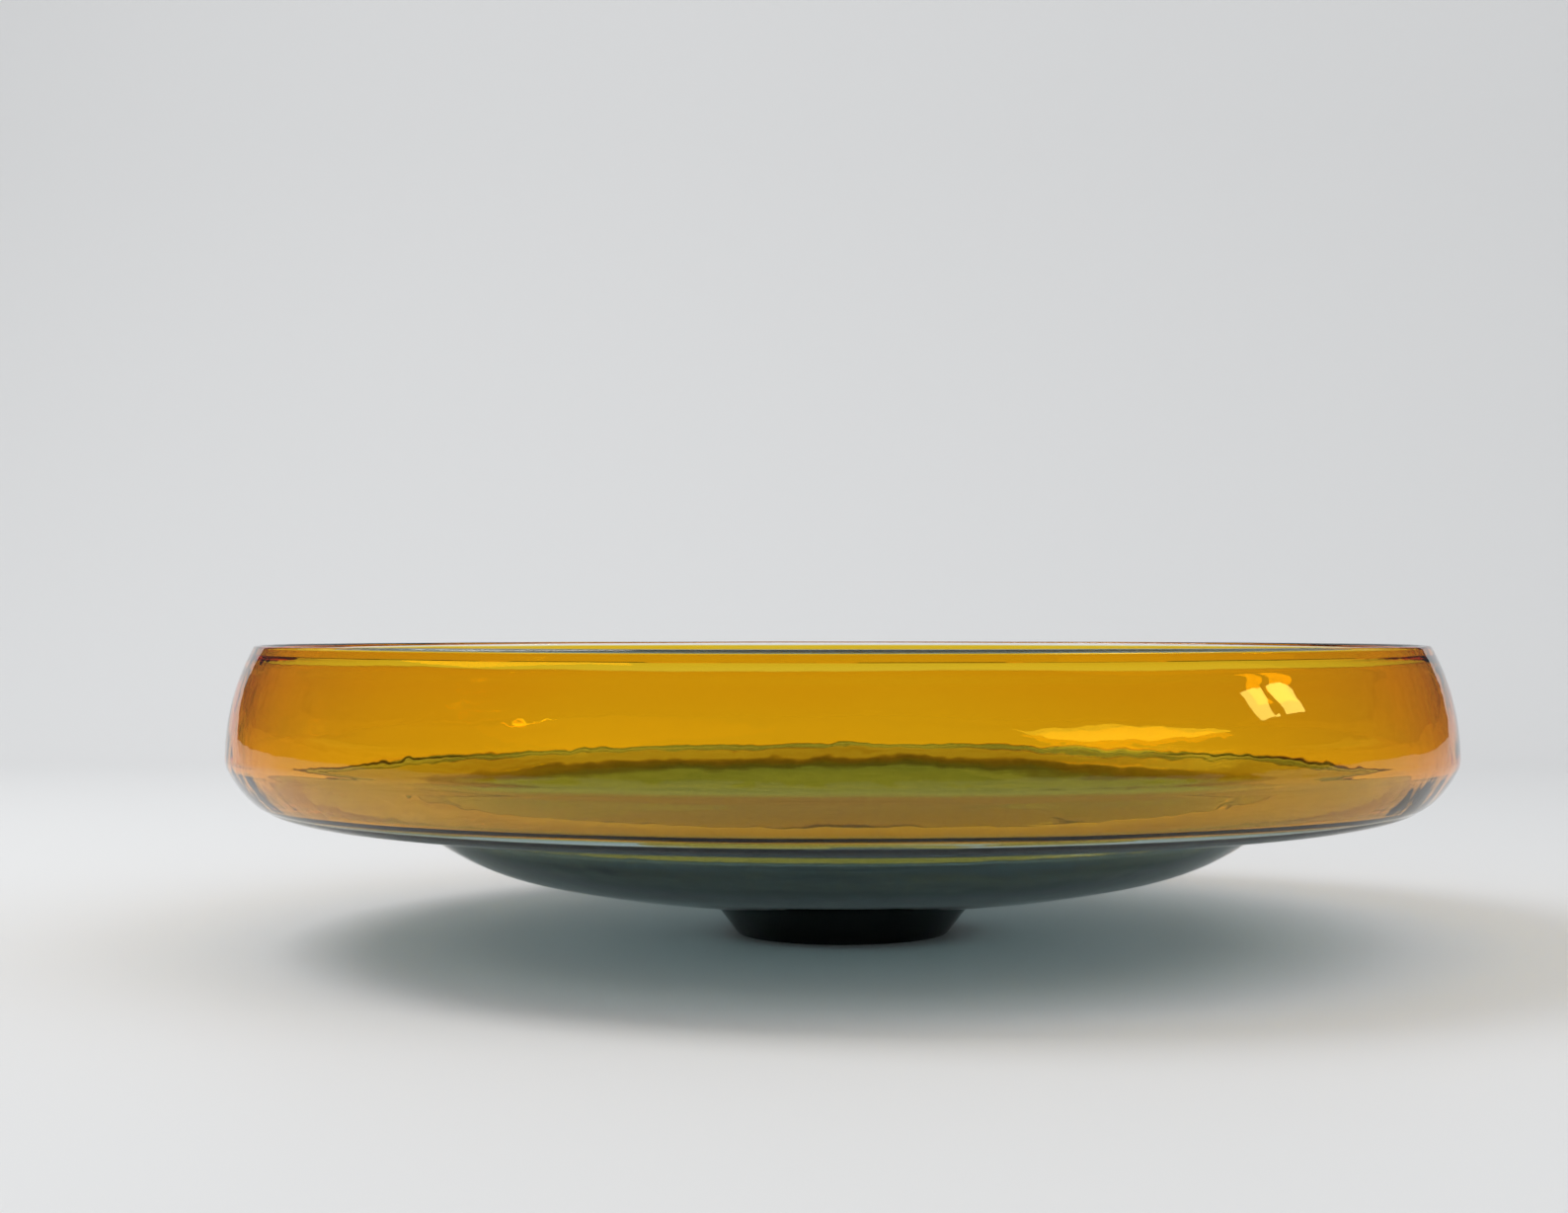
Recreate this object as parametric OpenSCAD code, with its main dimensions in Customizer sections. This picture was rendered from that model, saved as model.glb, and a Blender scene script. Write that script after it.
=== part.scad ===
// Blown art glass bowl: an amber bubble and a steel-blue bubble, each cased in its own gather of
// clear glass, joined hot along one seam and set on an applied dark foot.
// Every piece is turned about the Z axis. The origin is on the table, under the middle of the foot.
//
// The outside is one smooth line of tangent arcs from the lip down to the middle of the underside.
// A heading says which way that line runs: 90 is straight down, 0 is level towards the axis, and
// above 90 it leans outwards as it comes down.

/* [Overall size] */
// Widest diameter, across the belly
belly_d = 400; // [300:1:520]
// Height from the table to the top of the lip
overall_h = 96; // [76:0.5:120]
// Height of the middle of the underside above the table
base_z = 10; // [7:0.5:16]

/* [Upper wall] */
// Radius of the bow of the upper wall, in side view
wall_bow_r = 74; // [66:1:140]

/* [Belly] */
// Radius of the first turn, just under the widest level
shoulder_r = 8; // [6:0.5:14]
// Heading where the first turn ends
shoulder_heading = 64; // [56:0.5:74]
// Radius of the side of the belly
belly_side_r = 33.5; // [20:0.5:50]
// Heading where the side of the belly ends
side_heading = 44.5; // [40:0.5:54]
// Radius of the turn under the belly
belly_under_r = 20; // [12:0.5:30]
// Heading at the seam between the two bubbles, part of the way round the turn under the belly
seam_heading = 31; // [14:0.5:38]

/* [Shelf and well] */
// Heading of the nearly level shelf
shelf_heading = 3; // [1:0.5:8]
// Length of the shelf
shelf_len = 27.5; // [18:0.5:40]
// Radius of the hollow where the shelf drops into the well
neck_r = 27; // [18:0.5:40]
// Steepest heading of the well
well_heading = 39.5; // [34:0.5:46]
// Radius of the upper turn of the well
well_upper_r = 48.5; // [36:0.5:60]
// Heading where the upper turn of the well ends
well_upper_heading = 32; // [28:0.5:33]
// Radius of the middle turn of the well
well_middle_r = 81.5; // [65:0.5:98]
// Heading where the middle turn of the well ends
well_middle_heading = 14; // [12:0.5:20]
// Radius of the lower turn of the well
well_lower_r = 199; // [160:1:240]
// Heading where the lower turn meets the flat dish of the base
base_heading = 9.5; // [8:0.5:11]

/* [Glass thickness] */
// Whole wall at the lip
lip_t = 2.4; // [1.8:0.1:4]
// Whole wall at the widest level
belly_t = 3.3; // [2.4:0.1:5]
// Whole wall where the side of the belly ends
side_t = 3.6; // [3:0.1:6]
// Whole wall at the seam
seam_t = 3.7; // [3:0.1:6]
// Whole wall of the shelf and well
shelf_t = 4.8; // [3.6:0.1:7]
// Whole glass in the middle of the base
base_t = 6.5; // [5:0.1:10]
// Amber layer under the lip, on the inside of the wall
amber_t = 1.2; // [0.8:0.1:1.6]
// Both colour layers at the seam, where the glass was blown out the most
seam_colour_t = 0.8; // [0.5:0.1:1.4]
// Steel-blue layer in the middle of the base
blue_base_t = 2.4; // [1.2:0.1:3.6]

/* [Foot] */
// Diameter of the resting edge
foot_d = 70; // [56:1:90]
// Lean of the foot's side from upright
foot_lean = 38; // [10:1:50]
// Rounding of the foot's lower edge
foot_edge_r = 1.2; // [0.6:0.1:2]
// Diameter of the ground pontil mark under the foot
pontil_d = 34; // [20:1:46]
// Depth of the ground pontil mark
pontil_depth = 1; // [0.4:0.1:2]

/* [Hidden] */

// Finest turn between two points of the outline, in degrees
turn_step = 4.5;
// Sides of the preview of each turned piece
$fn = 180;

belly_r = belly_d / 2;
lip_r = lip_t / 2;

// An outline point is [radius, height, heading, wall thickness].
// A stage is [arc radius, end heading, end thickness], or [length, same heading, end thickness].
function arc_point(p, stage, k) =
    let (heading = p[2] + k * (stage[1] - p[2]),
         bend = stage[1] < p[2] ? stage[0] : -stage[0])
    [p[0] + bend * (sin(heading) - sin(p[2])),
     p[1] + bend * (cos(p[2]) - cos(heading)),
     heading,
     p[3] + k * (stage[2] - p[3])];
function line_point(p, stage) =
    [p[0] - stage[0] * cos(p[2]), p[1] - stage[0] * sin(p[2]), p[2], stage[2]];
function stage_points(p, stage) =
    stage[1] == p[2]
        ? [line_point(p, stage)]
        : let (steps = ceil(abs(stage[1] - p[2]) / turn_step))
          [for (i = [1 : steps]) arc_point(p, stage, i / steps)];
function last(list) = list[len(list) - 1];
function walk(p, stages, i = 0) =
    i == len(stages)
        ? []
        : let (points = stage_points(p, stages[i]))
          concat(points, walk(last(points), stages, i + 1));

// From the widest level down to the seam, then on to the start of the base, at heights below the belly.
belly_stages = [
    [shoulder_r, shoulder_heading, belly_t],
    [belly_side_r, side_heading, side_t],
    [belly_under_r, seam_heading, seam_t]
];
under_stages = [
    [belly_under_r, shelf_heading, shelf_t],
    [shelf_len, shelf_heading, shelf_t],
    [neck_r, well_heading, shelf_t],
    [well_upper_r, well_upper_heading, shelf_t],
    [well_middle_r, well_middle_heading, shelf_t],
    [well_lower_r, base_heading, shelf_t]
];
belly_line = walk([belly_r, 0, 90, belly_t], belly_stages);
under_line = walk(last(belly_line), under_stages);
base_start = last(under_line);
// The base dish closes level on the axis, so its radius follows from where it starts.
base_stage = [base_start[0] / sin(base_start[2]), 0, base_t];
base_steps = 8;
base_line = [for (i = [1 : base_steps]) arc_point(base_start, base_stage, i / base_steps)];
belly_z = base_z - last(base_line)[1];

// The lip is a half round; its centre lies on the middle of the wall, half a wall below the top.
lip_lean = asin((overall_h - lip_r - belly_z) / (wall_bow_r - lip_r));
lip_start = [belly_r - wall_bow_r * (1 - cos(lip_lean)), wall_bow_r * sin(lip_lean), 90 + lip_lean, lip_t];
wall_line = stage_points(lip_start, [wall_bow_r, 90, belly_t]);

function raised(points) = [for (p = points) [p[0], p[1] + belly_z, p[2], p[3]]];
upper_line = raised(concat([lip_start], wall_line, belly_line));
lower_line = raised(concat([last(belly_line)], under_line, base_line));

// A point inside the glass, a given depth from the outside.
function inset(p, depth) = [max(p[0] - depth * sin(p[2]), 0), p[1] + depth * cos(p[2])];
function outside(line) = [for (p = line) inset(p, 0)];
// The amber thins evenly with height down to the seam, and the blue with radius out to it.
seam_point = lower_line[0];
function amber_layer(p) =
    seam_colour_t + (amber_t - seam_colour_t) * (p[1] - seam_point[1]) / (upper_line[0][1] - seam_point[1]);
function blue_layer(p) = blue_base_t + (seam_colour_t - blue_base_t) * p[0] / seam_point[0];
function amber_face(line) = [for (p = line) inset(p, p[3] - amber_layer(p))];
function blue_face(line) = [for (p = line) inset(p, p[3] - blue_layer(p))];
function inside(line) = [for (p = line) inset(p, p[3])];
function reversed(list) = [for (i = [len(list) - 1 : -1 : 0]) list[i]];

lip_step = 15;
lip_centre = inset(upper_line[0], lip_r);
lip_round = [for (a = [180 - lip_step : -lip_step : lip_step])
    lip_centre + lip_r * [cos(a + lip_lean), sin(a + lip_lean)]];

module turned(points) {
    rotate_extrude() polygon(points);
}

// Clear gather over the amber bubble, closed over the top of the wall by the round lip.
module wall_casing() {
    color("lightcyan", 0.45)
        turned(concat(outside(upper_line), reversed(amber_face(upper_line)),
                      [inside(upper_line)[0]], lip_round));
}

// Upper bubble: the amber layer that lines the wall, from under the lip down to the seam.
module amber_wall() {
    color("orange", 0.85)
        turned(concat(amber_face(upper_line), reversed(inside(upper_line))));
}

// Clear gather over the steel-blue bubble, down to the middle of the underside.
module bowl_casing() {
    color("azure", 0.45)
        turned(concat(outside(lower_line), reversed(blue_face(lower_line))));
}

// Lower bubble: the steel-blue layer that lines the shelf, the well and the base.
module blue_bowl() {
    color("slategray", 0.85)
        turned(concat(blue_face(lower_line), reversed(inside(lower_line))));
}

// The foot seats on the clear gather's own underside, out to where its leaning side meets it.
foot_r = foot_d / 2;
under_table = [for (p = reversed(raised(concat([base_start], base_line)))) [p[0], p[1]]];
edge_centre = [foot_r - foot_edge_r * tan((90 - foot_lean) / 2), foot_edge_r];
edge_round = [for (a = [-90 : 13 : -foot_lean])
    edge_centre + foot_edge_r * [cos(a), sin(a)]];
side_start = edge_centre + foot_edge_r * [cos(foot_lean), -sin(foot_lean)];
function side_r(z) = side_start[0] + (z - side_start[1]) * tan(foot_lean);
// The seat's edge is found by walking the side up to the underside a few times.
function seat_r(r, n) = n == 0 ? r : seat_r(side_r(lookup(r, under_table)), n - 1);
seat_rounds = 24;
foot_seat_r = seat_r(foot_r, seat_rounds);
foot_seat = concat([for (p = under_table) if (p[0] < foot_seat_r) p],
                   [[foot_seat_r, lookup(foot_seat_r, under_table)]]);
pontil_r = pontil_d / 2;
pontil_steps = 6;
pontil_mark = [for (i = [0 : pontil_steps])
    [pontil_r * (1 - i / pontil_steps), pontil_depth * (1 - pow(1 - i / pontil_steps, 2))]];

// Applied foot of dark glass, with the ground pontil mark in its underside.
module foot() {
    color([0.09, 0.1, 0.14])
        turned(concat(reversed(pontil_mark), edge_round, [side_start], reversed(foot_seat)));
}

wall_casing();
amber_wall();
bowl_casing();
blue_bowl();
foot();
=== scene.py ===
"""Looks for the blown glass bowl: turned glass pieces on the CAD outlines, on a pale table."""

import math

import bmesh
import bpy
import numpy as np
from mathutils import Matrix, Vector, noise


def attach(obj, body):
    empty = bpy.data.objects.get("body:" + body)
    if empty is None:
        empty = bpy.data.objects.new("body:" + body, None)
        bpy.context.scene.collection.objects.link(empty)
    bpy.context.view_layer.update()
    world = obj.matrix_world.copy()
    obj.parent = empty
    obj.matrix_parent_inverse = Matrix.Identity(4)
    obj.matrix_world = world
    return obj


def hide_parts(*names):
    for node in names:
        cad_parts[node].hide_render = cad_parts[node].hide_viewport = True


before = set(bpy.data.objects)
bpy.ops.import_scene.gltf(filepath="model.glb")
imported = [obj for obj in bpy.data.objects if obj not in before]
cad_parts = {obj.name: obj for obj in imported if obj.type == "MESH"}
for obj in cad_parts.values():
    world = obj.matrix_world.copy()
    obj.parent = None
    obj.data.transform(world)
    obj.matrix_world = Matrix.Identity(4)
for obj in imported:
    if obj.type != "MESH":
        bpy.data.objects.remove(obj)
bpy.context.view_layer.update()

MM = 0.001
TINY = 1e-6
NODES = ["wall_casing", "amber_wall", "bowl_casing", "blue_bowl", "foot"]
CASINGS = ["wall_casing", "bowl_casing"]
COLOURS = ["amber_wall", "blue_bowl"]

# ---------------------------------------------------------------- outlines, read off the CAD solids
# An outline point is (radius, height) in mm, and an edge is a pair of them.
SAME = 0.04  # mm, points nearer than this are one point
ON_EDGE = 0.02  # mm, a point nearer to an edge than this lies on it
CLEAR_OF_END = 0.05  # mm, if it is also this far from both its ends
STRAIGHT = math.radians(0.4)  # an outline that turns less than this at a point is straight there
CORNER = math.radians(24)  # an outline that turns more than this at a point has a corner there
LONG = 0.4  # an edge whose neighbour is shorter than this share of it runs straight to that end
FINE = 1.6  # mm, longest step along a smooth outline
FINEST = 0.4  # mm, the same near the seam and the lip
SEAM_REACH = 5.0  # mm from the seam that counts as near
LIP_REACH = 9.0  # mm from the top of the lip that counts as near

known = {}  # the outline points met so far, by cell


def key_of(x, y, z):
    """The outline point of a CAD vertex. Vertices of one ring, and of fused rings, share one point."""
    r, h = math.hypot(x, y) / MM, z / MM
    cell = (round(r / SAME), round(h / SAME))
    for i in (-1, 0, 1):
        for j in (-1, 0, 1):
            key = known.get((cell[0] + i, cell[1] + j))
            if key and math.hypot(key[0] - r, key[1] - h) < SAME:
                return key
    known[cell] = (0.0 if r < SAME else r, h)
    return known[cell]


def links_of(pairs):
    """The neighbours of each outline point along the given edges."""
    links = {}
    for a, b in pairs:
        links.setdefault(a, set()).add(b)
        links.setdefault(b, set()).add(a)
    return links


def turn_at(a, b, c):
    """How far the line a-b-c turns at b, in radians."""
    one, two = np.subtract(b, a), np.subtract(c, b)
    cos = np.dot(one, two) / (np.linalg.norm(one) * np.linalg.norm(two))
    return math.acos(max(-1.0, min(1.0, cos)))


def without_straight_points(pairs):
    """Drops the points that tessellation adds along the straight edges of the outline."""
    links = links_of(pairs)
    for b in sorted(links):
        if len(links[b]) == 2:
            a, c = links[b]
            if turn_at(a, b, c) < STRAIGHT:
                links[a] = links[a] - {b} | {c}
                links[c] = links[c] - {b} | {a}
                del links[b]
    return {frozenset((a, b)) for a in links for b in links[a]}


def cad_edges(node):
    """The edges of a node's outline, from its turned CAD mesh."""
    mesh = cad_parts[node].data
    keys = [key_of(*v.co) for v in mesh.vertices]
    pairs = set()
    for edge in mesh.edges:
        a, b = keys[edge.vertices[0]], keys[edge.vertices[1]]
        if a != b and not (a[0] == 0 and b[0] == 0):
            pairs.add(frozenset((a, b)))
    return without_straight_points(pairs)


def point_on_edge(p, a, b):
    """True if p lies on the edge from a to b, clear of its ends."""
    a, b, p = np.array(a), np.array(b), np.array(p)
    along = b - a
    length = np.linalg.norm(along)
    t = np.dot(p - a, along) / length
    off = abs(np.cross(along / length, p - a))
    return off < ON_EDGE and CLEAR_OF_END < t < length - CLEAR_OF_END


def split_at_other_points(edges):
    """Splits each edge that another piece's outline point lies on, so that fused edges are the same."""
    all_keys = {k for pairs in edges.values() for pair in pairs for k in pair}
    for node in NODES:
        for pair in list(edges[node]):
            a, b = sorted(pair)
            for k in all_keys - {a, b}:
                if point_on_edge(k, a, b):
                    edges[node] -= {pair}
                    edges[node] |= {frozenset((a, k)), frozenset((k, b))}
                    break


edges = {node: cad_edges(node) for node in NODES}
split_at_other_points(edges)
neighbours = links_of(pair for node in NODES for pair in edges[node])


def shared(pair, node):
    """True if the edge is fused to another node."""
    return any(pair in edges[other] for other in NODES if other != node)


def chain(node):
    """The node's outline points in order. It comes back to its start, or ends on the axis it began on."""
    links = links_of(edges[node])
    on_axis = sorted(k for k in links if k[0] == 0)
    out, last = [on_axis[0] if on_axis else min(links)], None
    while True:
        step = [k for k in links[out[-1]] if k != last]
        if not step:
            return out
        if len(step) > 1 and last is not None or len(out) > len(links):
            raise ValueError(f"the outline of {node} branches at {out[-1]}")
        last = out[-1]
        if min(step) == out[0]:
            return out
        out.append(min(step))


def straight_on(a, b):
    """The outline point before a that best continues the edge b-a, or None at a corner."""
    best, best_turn = None, CORNER
    for k in neighbours[a] - {b}:
        turn = turn_at(k, a, b)
        if turn < best_turn:
            best, best_turn = k, turn
    return best


def centripetal(p0, p1, p2, p3, n):
    """Points from p1 up to, but not including, p2 on a centripetal Catmull-Rom curve."""
    t1 = np.linalg.norm(p1 - p0) ** 0.5
    t2 = t1 + np.linalg.norm(p2 - p1) ** 0.5
    t3 = t2 + np.linalg.norm(p3 - p2) ** 0.5
    out = []
    for i in range(n):
        t = t1 + (t2 - t1) * i / n
        a1 = (t1 - t) / t1 * p0 + t / t1 * p1
        a2 = (t2 - t) / (t2 - t1) * p1 + (t - t1) / (t2 - t1) * p2
        a3 = (t3 - t) / (t3 - t2) * p2 + (t - t2) / (t3 - t2) * p3
        b1 = (t2 - t) / t2 * a1 + t / t2 * a2
        b2 = (t3 - t) / (t3 - t1) * a2 + (t - t1) / (t3 - t1) * a3
        out.append((t2 - t) / (t2 - t1) * b1 + (t - t1) / (t2 - t1) * b2)
    return out


def common_edge(one, two):
    """The one outline edge that two nodes share."""
    (pair,) = edges[one] & edges[two]
    return pair


casing_seam = common_edge(*CASINGS)
colour_seam = common_edge(*COLOURS)
(seam_middle,) = casing_seam & colour_seam
(seam_out,) = casing_seam - {seam_middle}
(seam_in,) = colour_seam - {seam_middle}
lip_top = max(k[1] for k in neighbours)


def fine_edge(a, b):
    """Points from a up to b on the smooth outline. The same pair always gives the same points."""
    if a > b:
        points = fine_edge(b, a)
        return [np.array(a, float)] + points[:0:-1]
    before, after = straight_on(a, b), straight_on(b, a)
    p1, p2 = np.array(a, float), np.array(b, float)
    p0 = np.array(before, float) if before else 2 * p1 - p2
    p3 = np.array(after, float) if after else 2 * p2 - p1
    length = np.linalg.norm(p2 - p1)
    if np.linalg.norm(p1 - p0) < LONG * length:  # a long edge beside a short one is a straight
        p0 = 2 * p1 - p2
    if np.linalg.norm(p3 - p2) < LONG * length:
        p3 = 2 * p2 - p1
    middle = (p1 + p2) / 2
    near_seam = min(np.linalg.norm(middle - np.array(e)) for e in (seam_out, seam_in)) < SEAM_REACH
    step = FINEST if near_seam or middle[1] > lip_top - LIP_REACH else FINE
    return centripetal(p0, p1, p2, p3, max(1, math.ceil(length / step)))


def cloud(pairs):
    """All the points of the smooth outline along the given edges."""
    return np.array([q for pair in pairs for q in fine_edge(*sorted(pair))])


colour_edges = set().union(*(edges[node] for node in COLOURS))
outside_points = cloud(set().union(*(edges[node] for node in CASINGS)) - colour_edges - {casing_seam})
inside_points = cloud({pair for node in COLOURS for pair in edges[node] if not shared(pair, node)})


def smooth_outline(node):
    """The node's outline points, anticlockwise, and whether the edge after each one is fused."""
    keys = chain(node)
    if sum(a[0] * b[1] - b[0] * a[1] for a, b in zip(keys, keys[1:] + keys[:1])) < 0:
        keys.reverse()
    points, fused = [], []
    for a, b in zip(keys, keys[1:] + keys[:1]):
        along_axis = a[0] == 0 and b[0] == 0
        piece = [np.array(a, float)] if along_axis else fine_edge(a, b)
        points += piece
        fused += [shared(frozenset((a, b)), node)] * len(piece)
    return points, fused


# ---------------------------------------------------------------- hand-made unevenness
WAVE_OUT = 0.10  # mm, broad unevenness of the outside
WAVE_IN = 0.14  # mm, and of the inside
WAVE_LENGTH = 46.0  # mm
OUTSIDE_SEED, INSIDE_SEED = 0.0, 7.3  # places in the noise that the two sides are taken from
TURN_MARK = 0.025  # mm, fine marks that run round the bowl
TURN_PITCH = 4.2  # mm between them, up the wall
TURN_LENGTH = 90.0  # mm, how long they run
TURN_SPREAD = 0.2  # how far their pitch follows the radius, so that they show on the shelf too
LIP_BEAD = 0.34  # mm, the fire-polished bead just inside the lip
LIP_BEAD_DROP = 2.9  # mm from the top to the middle of the bead
LIP_BEAD_WIDTH = 1.5  # mm
LIP_WAIST = 0.14  # mm, the hollow below the bead
LIP_WAIST_DROP = 7.0  # mm
LIP_WAIST_WIDTH = 2.0  # mm
SEAM_RIDGE = 0.75  # mm, the ridge that the join leaves inside
SEAM_GROOVE = 0.20  # mm, and the groove outside
SEAM_WIDTH = 1.1  # mm
RIDGE_CHANGE, GROOVE_CHANGE = 0.9, 0.5  # how far they grow and shrink with the broad unevenness
STILL_RADIUS = 55.0  # mm, no unevenness inside this radius, where the foot is seated
MOVING_RADIUS = 88.0  # mm, and all of it outside this one


def smooth_step(x, lo, hi):
    """Rises smoothly from 0 at lo to 1 at hi."""
    t = max(0.0, min(1.0, (x - lo) / (hi - lo)))
    return t * t * (3 - 2 * t)


def bump(distance, width):
    """A rounded bump: 1 in the middle, and nearly 0 two widths away."""
    return math.exp(-((distance / width) ** 2))


def through_wall(point):
    """The direction from the inside to the outside at an outline point, and its share of the way in."""
    d_out = np.linalg.norm(outside_points - point, axis=1)
    d_in = np.linalg.norm(inside_points - point, axis=1)
    o, i = outside_points[d_out.argmin()], inside_points[d_in.argmin()]
    normal = (o - i) / max(np.linalg.norm(o - i), TINY)
    share = d_out.min() / max(d_out.min() + d_in.min(), TINY)
    return normal, share


def wave(x, y, z, seed):
    """Broad waves and fine marks round the bowl, each between about -1 and 1."""
    broad = noise.noise(Vector((x / WAVE_LENGTH + seed, y / WAVE_LENGTH, z / WAVE_LENGTH)))
    turn = (z + TURN_SPREAD * math.hypot(x, y)) / TURN_PITCH
    mark = noise.noise(Vector((x / TURN_LENGTH + seed, y / TURN_LENGTH, turn)))
    return broad, mark


def tool_marks(p):
    """How far the seam and the lip move the outside and the inside at an outline point, in mm."""
    below = lip_top - p[1]
    bead = LIP_BEAD * bump(below - LIP_BEAD_DROP, LIP_BEAD_WIDTH)
    waist = LIP_WAIST * bump(below - LIP_WAIST_DROP, LIP_WAIST_WIDTH)
    ridge = SEAM_RIDGE * bump(math.dist(p, seam_in), SEAM_WIDTH)
    groove = SEAM_GROOVE * bump(math.dist(p, seam_out), SEAM_WIDTH)
    return -groove, -(bead - waist + ridge)


# ---------------------------------------------------------------- turned pieces
SEGMENTS = 288  # steps round each turned piece
TURNS = [2 * math.pi * k / SEGMENTS for k in range(SEGMENTS)]
FUSED_GAP = 0.01  # mm, each fused face stands back by this, so no two faces lie in one place


def stand_back(points, fused, i):
    """How outline point i moves so that the fused edges on both its sides stand back, in mm."""
    normals = []
    for j in (i - 1, i):
        if fused[j]:
            along = points[(j + 1) % len(points)] - points[j]
            normals.append(np.array([-along[1], along[0]]) / np.linalg.norm(along))
    if not normals:
        return np.zeros(2)
    middle = sum(normals)
    return middle / max(np.dot(middle, normals[0]), TINY) * FUSED_GAP


def ring(points, fused, i):
    """The places, in metres, that outline point i is turned to. On the axis there is only one."""
    p = points[i]
    r, z = p + stand_back(points, fused, i)
    if p[0] < TINY:
        return [(0, 0, z * MM)]
    normal, share = through_wall(p)
    calm = smooth_step(p[0], STILL_RADIUS, MOVING_RADIUS)
    groove, ridge = tool_marks(p)
    places = []
    for turn in TURNS:
        x, y = math.cos(turn), math.sin(turn)
        move = 0.0
        if calm > 0:
            broad_out, mark_out = wave(p[0] * x, p[0] * y, p[1], OUTSIDE_SEED)
            broad_in, mark_in = wave(p[0] * x, p[0] * y, p[1], INSIDE_SEED)
            out_move = WAVE_OUT * (broad_out - 1) + TURN_MARK * (mark_out - 1)
            out_move += groove * (1 + GROOVE_CHANGE * broad_in)
            in_move = WAVE_IN * broad_in + TURN_MARK * mark_in
            in_move += ridge * (1 + RIDGE_CHANGE * broad_out)
            move = calm * (out_move * (1 - share) + in_move * share)
        rr, zz = r + normal[0] * move, z + normal[1] * move
        places.append((rr * x * MM, rr * y * MM, zz * MM))
    return places


def band(a, b):
    """The faces between two rings of vertices, where a ring may be one vertex on the axis."""
    if len(a) == 1 and len(b) == 1:
        return []
    steps = [(s, (s + 1) % SEGMENTS) for s in range(SEGMENTS)]
    if len(a) == 1:
        return [(a[0], b[t], b[s]) for s, t in steps]
    if len(b) == 1:
        return [(a[s], a[t], b[0]) for s, t in steps]
    return [(a[s], a[t], b[t], b[s]) for s, t in steps]


def shade(mesh):
    """Faces the mesh outwards, and makes it smooth but for its corners and the rims of its fused faces."""
    work = bmesh.new()
    work.from_mesh(mesh)
    if work.calc_volume(signed=True) < 0:
        bmesh.ops.reverse_faces(work, faces=work.faces)
    layer = work.faces.layers.float["fused"]
    for edge in work.edges:
        one, two = edge.link_faces
        if one[layer] != two[layer] or edge.calc_face_angle() > CORNER:
            edge.smooth = False
    for face in work.faces:
        face.smooth = True
    work.to_mesh(mesh)
    work.free()


def turned(node, material):
    """The node's glass, turned about the axis as a closed mesh. Its "fused" faces touch other glass."""
    name = f"{node}_glass"
    points, fused = smooth_outline(node)
    verts, index = [], []
    for i in range(len(points)):
        places = ring(points, fused, i)
        index.append(range(len(verts), len(verts) + len(places)))
        verts += places
    faces, flags = [], []
    for i, a in enumerate(index):
        new = band(a, index[(i + 1) % len(index)])
        faces += new
        flags += [1.0 if fused[i] else 0.0] * len(new)
    mesh = bpy.data.meshes.new(name)
    mesh.from_pydata(verts, [], faces)
    mesh.attributes.new("fused", "FLOAT", "FACE").data.foreach_set("value", flags)
    shade(mesh)
    mesh.materials.append(material)
    piece = bpy.data.objects.new(name, mesh)
    bpy.context.scene.collection.objects.link(piece)
    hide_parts(node)
    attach(piece, "root")


# ---------------------------------------------------------------- glass
GLASS_IOR = 1.5
CRINKLE_SCALE = 95  # crinkles per metre
CRINKLE_DETAIL = 1.5
SMEAR_SCALE = 22  # smears per metre
SMEAR_DETAIL = 4.0
SMEAR_FROM, SMEAR_FULL = 0.52, 0.75  # the noise at which a smear starts, and is at its roughest
SMEAR_ROUGHNESS = 0.012


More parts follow.
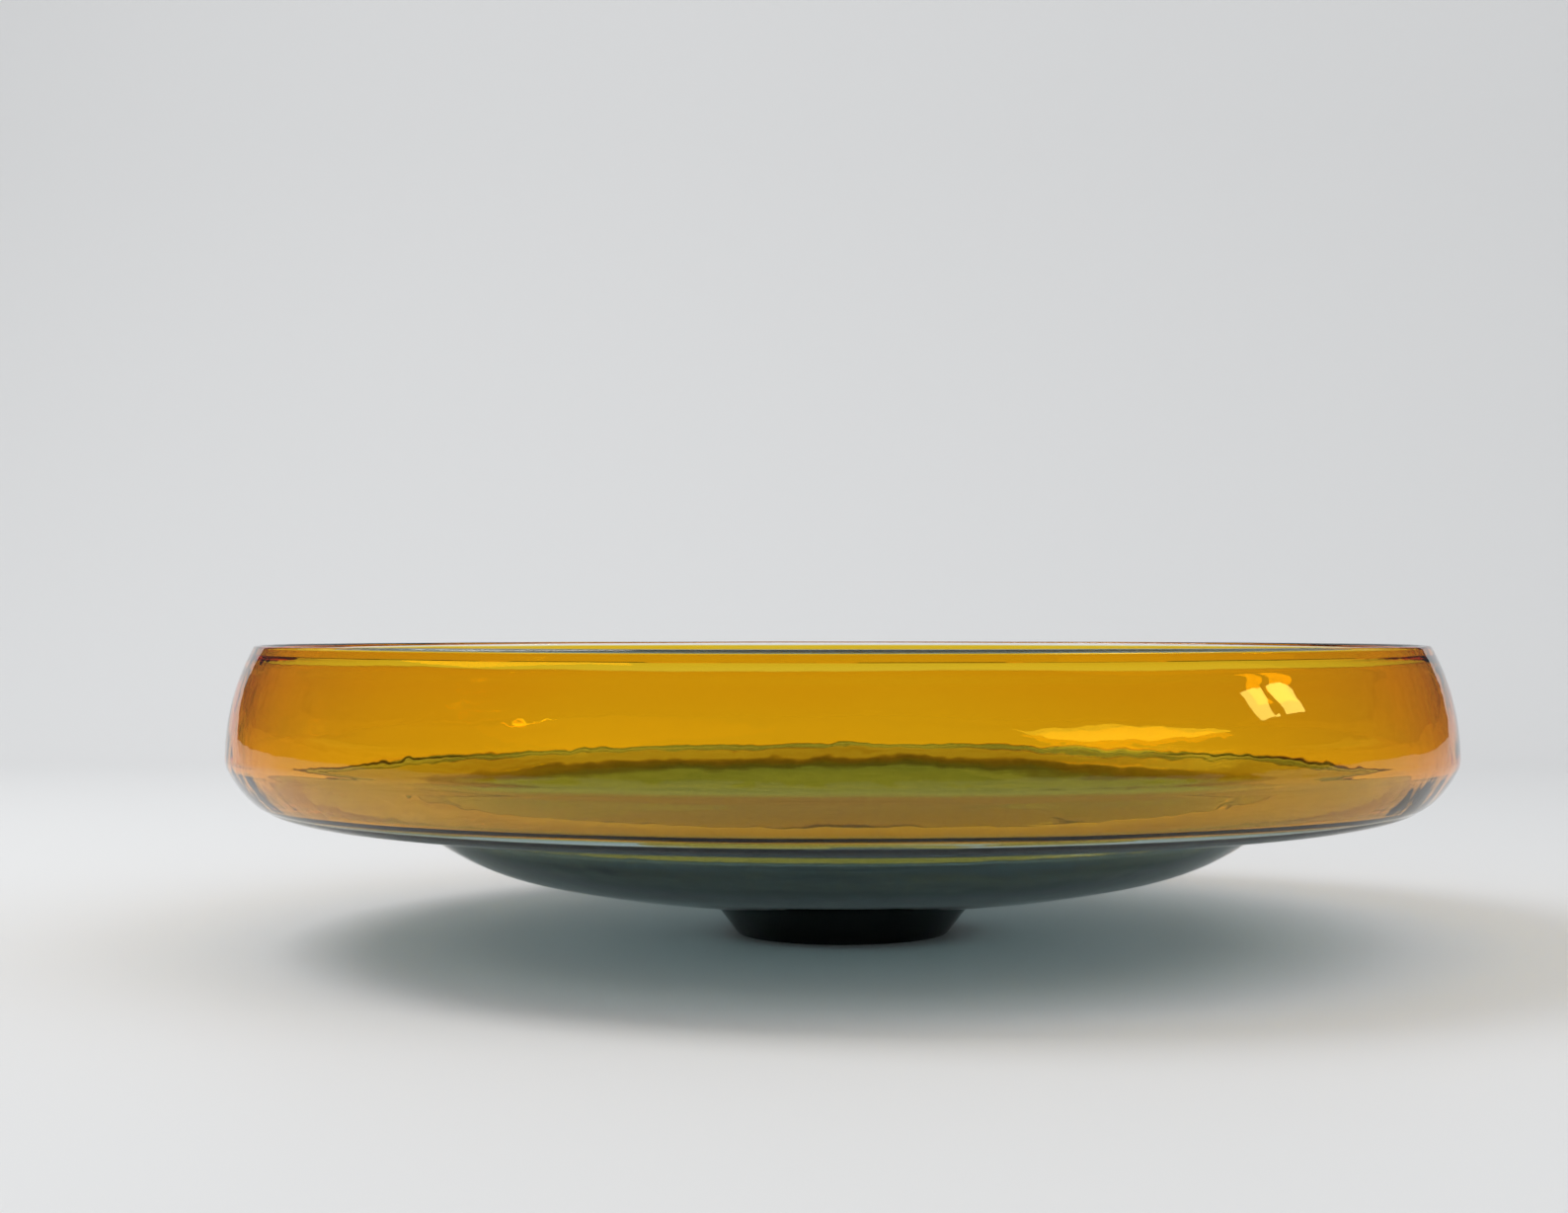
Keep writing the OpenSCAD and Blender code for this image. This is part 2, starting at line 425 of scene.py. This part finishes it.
def glass(name, absorb=None, density=0.0, crinkle=0.02):
    """Solid glass with a hand-blown surface. Fused faces have the IOR of the glass they touch."""
    mat = bpy.data.materials.new(name)
    mat.use_nodes = True
    tree = mat.node_tree
    link = tree.links.new
    shader = tree.nodes["Principled BSDF"]
    shader.inputs["Base Color"].default_value = (1, 1, 1, 1)
    shader.inputs["Transmission Weight"].default_value = 1.0
    fused = tree.nodes.new("ShaderNodeAttribute")
    fused.attribute_name = "fused"
    place = tree.nodes.new("ShaderNodeTexCoord")

    def scaled(value, to_min, to_max, from_min=0.0, from_max=1.0):
        node = tree.nodes.new("ShaderNodeMapRange")
        node.inputs["From Min"].default_value = from_min
        node.inputs["From Max"].default_value = from_max
        node.inputs["To Min"].default_value = to_min
        node.inputs["To Max"].default_value = to_max
        link(value, node.inputs["Value"])
        return node.outputs["Result"]

    def noise_node(scale, detail):
        node = tree.nodes.new("ShaderNodeTexNoise")
        node.inputs["Scale"].default_value = scale
        node.inputs["Detail"].default_value = detail
        link(place.outputs["Object"], node.inputs["Vector"])
        return node.outputs["Fac"]

    # index-matched where it is fused to other glass
    link(scaled(fused.outputs["Fac"], GLASS_IOR, 1.0), shader.inputs["IOR"])
    # crinkles left by the blowing and the tools, only where the glass meets the air
    bumps = tree.nodes.new("ShaderNodeBump")
    bumps.inputs["Distance"].default_value = crinkle * MM
    link(scaled(fused.outputs["Fac"], 1.0, 0.0), bumps.inputs["Strength"])
    link(noise_node(CRINKLE_SCALE, CRINKLE_DETAIL), bumps.inputs["Height"])
    link(bumps.outputs["Normal"], shader.inputs["Normal"])
    # faint smears from handling
    smears = tree.nodes.new("ShaderNodeMath")
    smears.operation = "MULTIPLY"
    smear_noise = noise_node(SMEAR_SCALE, SMEAR_DETAIL)
    link(scaled(smear_noise, 0.0, SMEAR_ROUGHNESS, SMEAR_FROM, SMEAR_FULL), smears.inputs[0])
    link(scaled(fused.outputs["Fac"], 1.0, 0.0), smears.inputs[1])
    link(smears.outputs["Value"], shader.inputs["Roughness"])
    if absorb:
        volume = tree.nodes.new("ShaderNodeVolumeAbsorption")
        volume.inputs["Color"].default_value = (*absorb, 1)
        volume.inputs["Density"].default_value = density
        link(volume.outputs["Volume"], tree.nodes["Material Output"].inputs["Volume"])
    return mat


clear = glass("clear glass", crinkle=0.10)
amber = glass("amber glass", absorb=(0.994, 0.883, 0.027), density=3450, crinkle=0.06)
blue = glass("steel blue glass", absorb=(0.130, 0.340, 0.352), density=1150)
dark = glass("dark foot glass", absorb=(0.10, 0.16, 0.30), density=1500, crinkle=0.12)

turned("wall_casing", clear)
turned("amber_wall", amber)
turned("bowl_casing", clear)
turned("blue_bowl", blue)
turned("foot", dark)

# ---------------------------------------------------------------- table and backdrop, in metres
TABLE_GREY = 0.80
FAR = 7.0  # how far the table runs from the bowl
BEND_Y = 0.92  # where the table starts to bend up behind the bowl
BEND_R = 0.6
BEND_STEPS = 24
BEND_HALF = 1.1  # half the width of the part that bends up
WALL_TOP = 3.5


def stage_material(name, grey):
    """Plain matt paper."""
    mat = bpy.data.materials.new(name)
    mat.use_nodes = True
    shader = mat.node_tree.nodes["Principled BSDF"]
    shader.inputs["Base Color"].default_value = (grey, grey, grey, 1)
    shader.inputs["Roughness"].default_value = 0.6
    shader.inputs["Specular IOR Level"].default_value = 0.2
    return mat


def sweep(name, material):
    """A table that runs to FAR all round, and bends up into a backdrop behind the bowl."""
    bend = [
        (BEND_Y + BEND_R * math.sin(a), BEND_R * (1 - math.cos(a)))
        for a in np.linspace(0, math.pi / 2, BEND_STEPS + 1)
    ]
    line = [(-FAR, 0.0)] + bend + [(BEND_Y + BEND_R, WALL_TOP)]
    rows = len(line)
    verts = [(x, y, z) for x in (-FAR, -BEND_HALF, BEND_HALF, FAR) for y, z in line]
    faces = []
    for column in range(3):
        for row in range(rows - 1 if column == 1 else 1):
            i = column * rows + row
            faces.append((i, i + rows, i + rows + 1, i + 1))
    for x0, x1 in ((-FAR, -BEND_HALF), (BEND_HALF, FAR)):  # the table on both sides of the backdrop
        i = len(verts)
        verts += [(x0, BEND_Y, 0), (x1, BEND_Y, 0), (x1, FAR, 0), (x0, FAR, 0)]
        faces.append((i, i + 1, i + 2, i + 3))
    mesh = bpy.data.meshes.new(name)
    mesh.from_pydata(verts, [], faces)
    for face in mesh.polygons:
        face.use_smooth = True
    mesh.materials.append(material)
    obj = bpy.data.objects.new(name, mesh)
    bpy.context.scene.collection.objects.link(obj)


sweep("table_and_backdrop", stage_material("pale table", TABLE_GREY))

# ---------------------------------------------------------------- room light
ROOM_COLOUR = (0.96, 0.98, 1.0)
ROOM_SEEN, ROOM_LIGHT = 0.06, 0.66  # strength of the room as seen, and as it lights matt surfaces
world = bpy.data.worlds.new("surroundings")
bpy.context.scene.world = world
world.use_nodes = True
sky = world.node_tree.nodes["Background"]
sky.inputs["Color"].default_value = (*ROOM_COLOUR, 1)
# the room is dark to look at through the glass, and its walls still light the table softly
path = world.node_tree.nodes.new("ShaderNodeLightPath")
room = world.node_tree.nodes.new("ShaderNodeMapRange")
room.inputs["To Min"].default_value = ROOM_SEEN
room.inputs["To Max"].default_value = ROOM_LIGHT
world.node_tree.links.new(path.outputs["Diffuse Depth"], room.inputs["Value"])
world.node_tree.links.new(room.outputs["Result"], sky.inputs["Strength"])

# ---------------------------------------------------------------- lamps: places and sizes in metres
MAIN_PLACE, MAIN_SIZE, MAIN_POWER = (-0.88, 0.14, 1.32), (0.72, 0.72), 9
FILL_PLACE, FILL_SIZE, FILL_POWER = (1.1, -0.3, 1.4), (1.4, 1.4), 6
WINDOW_X, WINDOW_Y, WINDOW_Z = 1.2, -0.24, 0.50
WINDOW_TILT = 72  # degrees from facing straight down
PANE_OFFSET = 0.068  # from the middle of the window to the middle of each of its two panes
PANE_SIZE, PANE_POWER, PANE_COLOUR = (0.20, 0.10), 0.6, (1.0, 0.86, 0.18)


def area(name, place, size, power, colour=(1, 1, 1)):
    """A rectangular lamp that faces straight down."""
    lamp = bpy.data.lights.new(name, "AREA")
    lamp.shape = "RECTANGLE"
    lamp.size, lamp.size_y = size
    lamp.energy = power
    lamp.color = colour
    obj = bpy.data.objects.new(name, lamp)
    obj.location = place
    bpy.context.scene.collection.objects.link(obj)
    return obj


def aimed(name, place, size, power):
    """A soft box that faces the bowl."""
    lamp = area(name, place, size, power)
    lamp.rotation_euler = Vector(place).to_track_quat("Z", "Y").to_euler()
    return lamp


aimed("main_softbox", MAIN_PLACE, MAIN_SIZE, MAIN_POWER)
fill = aimed("fill_softbox", FILL_PLACE, FILL_SIZE, FILL_POWER)
fill.visible_glossy = False
for side in (-1, 1):
    pane_place = (WINDOW_X, WINDOW_Y + side * PANE_OFFSET, WINDOW_Z)
    pane = area(f"window_pane_{side}", pane_place, PANE_SIZE, PANE_POWER, PANE_COLOUR)
    pane.rotation_euler = (0, math.radians(WINDOW_TILT), 0)
    pane.visible_diffuse = False

# ---------------------------------------------------------------- camera
SENSOR = 36  # mm across
LENS = 52.708  # mm
SHIFT_ACROSS, SHIFT_UP = -0.03747, 0.01448  # picture widths, from a level camera on the bowl's axis
CAM_AWAY, CAM_UP = 0.7687, 0.1010  # m from the axis, and above the table
cam = bpy.data.cameras.new("camera")
cam.sensor_width = SENSOR
cam.lens = LENS
cam.shift_x, cam.shift_y = SHIFT_ACROSS, SHIFT_UP
cam.clip_start = 0.01
cam_obj = bpy.data.objects.new("camera", cam)
cam_obj.location = (0, -CAM_AWAY, CAM_UP)
cam_obj.rotation_euler = (math.pi / 2, 0, 0)
bpy.context.scene.collection.objects.link(cam_obj)
bpy.context.scene.camera = cam_obj

cycles = bpy.context.scene.cycles
cycles.use_denoising = True
cycles.max_bounces = 24
cycles.transmission_bounces = 24
cycles.glossy_bounces = 12
cycles.transparent_max_bounces = 16
bpy.context.scene.view_settings.view_transform = "Standard"
